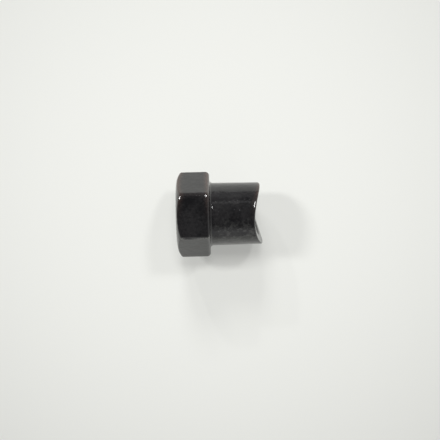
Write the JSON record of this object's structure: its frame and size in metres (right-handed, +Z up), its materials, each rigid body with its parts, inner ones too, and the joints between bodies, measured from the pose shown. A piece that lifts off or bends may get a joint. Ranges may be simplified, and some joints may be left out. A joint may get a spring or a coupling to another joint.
{
  "type": "brake cable adjusting nut",
  "caption": "Black brake cable adjusting nut: hexagonal wrench head, plain round shank ending in a shallow saddle, threaded right through.",
  "frame": {"origin": "on the surface the nut lies on, under the middle of its box", "axes": "+X along the thread from the head's end face to the saddle, +Z up from the flat it lies on"},
  "size_m": [0.0138, 0.0136, 0.012],
  "materials": {
    "black_coated_steel": "glossy black coating, rubbed brown at the edges"
  },
  "bodies": {
    "root": {"adjusting_nut": "black_coated_steel"}
  },
  "joints": []
}
